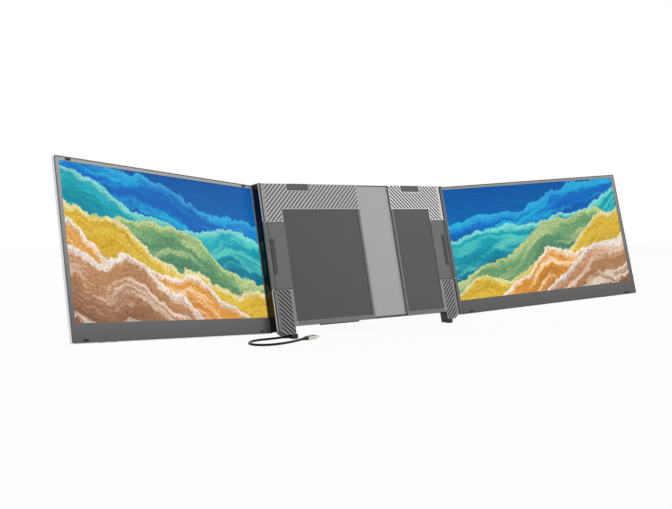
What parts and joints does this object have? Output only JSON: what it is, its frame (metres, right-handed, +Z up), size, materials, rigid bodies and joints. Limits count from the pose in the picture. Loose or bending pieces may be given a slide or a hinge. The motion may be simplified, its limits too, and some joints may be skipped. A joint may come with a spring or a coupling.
{
  "type": "laptop screen extender",
  "caption": "Two hinged flat displays on a telescoping ribbed frame with spring top clips, a rear kickstand and a short captive USB lead.",
  "frame": {"origin": "middle of the footprint box on the table, without the lead", "axes": "+X to the viewer's right across the frame, +Y towards the back, +Z up"},
  "size_m": [1.0432, 0.207, 0.2539],
  "materials": {
    "satin_grey": "satin light grey moulding with slanting ribs",
    "dark_grey": "matt dark grey moulding",
    "black_plastic": "matt black",
    "gloss_black": "gloss black hinge wall with light front edge",
    "case_silver": "anodised silver",
    "bezel_grey": "brushed dark grey front frame",
    "display_glass": "lit display",
    "diffuser_white": "white diffuser",
    "board_green": "circuit board",
    "rubber_black": "soft black rubber",
    "steel": "steel",
    "tray_metal": "bead blasted grey",
    "acetal_white": "low friction pads",
    "plug_metal": "satin plug housing",
    "contact_steel": "plated connector"
  },
  "bodies": {
    "frame": {"back_shell_left": "black_plastic", "upper_cover_left": "satin_grey", "middle_cover_left": "dark_grey", "lower_cover_left": "satin_grey", "arm_pad_left": "rubber_black", "hinge_pins_left": "steel", "friction_sleeves_left": "steel", "frame_screws_left": "steel", "clip_spring_left": "steel", "foot_left": "rubber_black", "centre_tray": "tray_metal", "slide_rails": "steel", "main_board": "board_green", "port_board": "board_green", "usb_ports": "contact_steel", "kickstand_pin": "steel", "cord_relief": "rubber_black", "usb_cord": "rubber_black", "plug_collar": "rubber_black", "plug_shell": "plug_metal", "plug_tip": "contact_steel"},
    "frame_right": {"back_shell_right": "black_plastic", "upper_cover_right": "satin_grey", "middle_cover_right": "dark_grey", "lower_cover_right": "satin_grey", "arm_pad_right": "rubber_black", "hinge_pins_right": "steel", "friction_sleeves_right": "steel", "frame_screws_right": "steel", "clip_spring_right": "steel", "foot_right": "rubber_black", "slide_glides": "acetal_white"},
    "screen_left": {"screen_case_left": "case_silver", "screen_bezel_left": "bezel_grey", "display_panel_left": "display_glass", "backlight_left": "diffuser_white", "driver_board_left": "board_green", "button_board_left": "board_green", "hinge_bracket_left": "gloss_black", "screen_bumpers_left": "rubber_black", "screen_screws_left": "steel"},
    "screen_right": {"screen_case_right": "case_silver", "screen_bezel_right": "bezel_grey", "display_panel_right": "display_glass", "backlight_right": "diffuser_white", "driver_board_right": "board_green", "button_board_right": "board_green", "hinge_bracket_right": "gloss_black", "screen_bumpers_right": "rubber_black", "screen_screws_right": "steel"},
    "clip_left": {"top_clip_left": "dark_grey"},
    "clip_right": {"top_clip_right": "dark_grey"},
    "kickstand": {"kickstand_leg": "tray_metal", "kickstand_foot": "rubber_black"},
    "power_button_left": {"power_button_left": "black_plastic"},
    "menu_button_left": {"menu_button_left": "black_plastic"},
    "power_button_right": {"power_button_right": "black_plastic"},
    "menu_button_right": {"menu_button_right": "black_plastic"}
  },
  "joints": [
    {"name": "screen_left_swing", "type": "hinge", "parent": "frame", "child": "screen_left", "pos_m": [-0.18119, 0.02878, 0.12115], "axis": [0, 0.247, 0.969], "range_deg": [-19.65, 160.35]},
    {"name": "screen_right_swing", "type": "hinge", "parent": "frame_right", "child": "screen_right", "pos_m": [0.17981, 0.02878, 0.12115], "axis": [0, -0.247, -0.969], "range_deg": [-17.1, 162.9]},
    {"name": "frame_slide", "type": "slide", "parent": "frame", "child": "frame_right", "axis": [1, 0, 0], "range_m": [0, 0.032]},
    {"name": "kickstand_swing", "type": "hinge", "parent": "frame", "child": "kickstand", "pos_m": [-0.00069, 0.05029, 0.14116], "axis": [1, 0, 0], "range_deg": [-33.81, 35]},
    {"name": "clip_left_slide", "type": "slide", "parent": "frame", "child": "clip_left", "axis": [0, 0.247, 0.969], "range_m": [0, 0.012], "stiffness_N_per_m": 300, "springref_m": -0.002, "deforming": ["clip_spring_left"]},
    {"name": "clip_right_slide", "type": "slide", "parent": "frame_right", "child": "clip_right", "axis": [0, 0.247, 0.969], "range_m": [0, 0.012], "stiffness_N_per_m": 300, "springref_m": -0.002, "deforming": ["clip_spring_right"]},
    {"name": "power_button_left_press", "type": "slide", "parent": "screen_left", "child": "power_button_left", "axis": [0, 0.247, 0.969], "range_m": [0, 0.0005], "stiffness_N_per_m": 600, "springref_m": -0.0003},
    {"name": "menu_button_left_press", "type": "slide", "parent": "screen_left", "child": "menu_button_left", "axis": [0, 0.247, 0.969], "range_m": [0, 0.0005], "stiffness_N_per_m": 600, "springref_m": -0.0003},
    {"name": "power_button_right_press", "type": "slide", "parent": "screen_right", "child": "power_button_right", "axis": [0, 0.247, 0.969], "range_m": [0, 0.0005], "stiffness_N_per_m": 600, "springref_m": -0.0003},
    {"name": "menu_button_right_press", "type": "slide", "parent": "screen_right", "child": "menu_button_right", "axis": [0, 0.247, 0.969], "range_m": [0, 0.0005], "stiffness_N_per_m": 600, "springref_m": -0.0003}
  ]
}
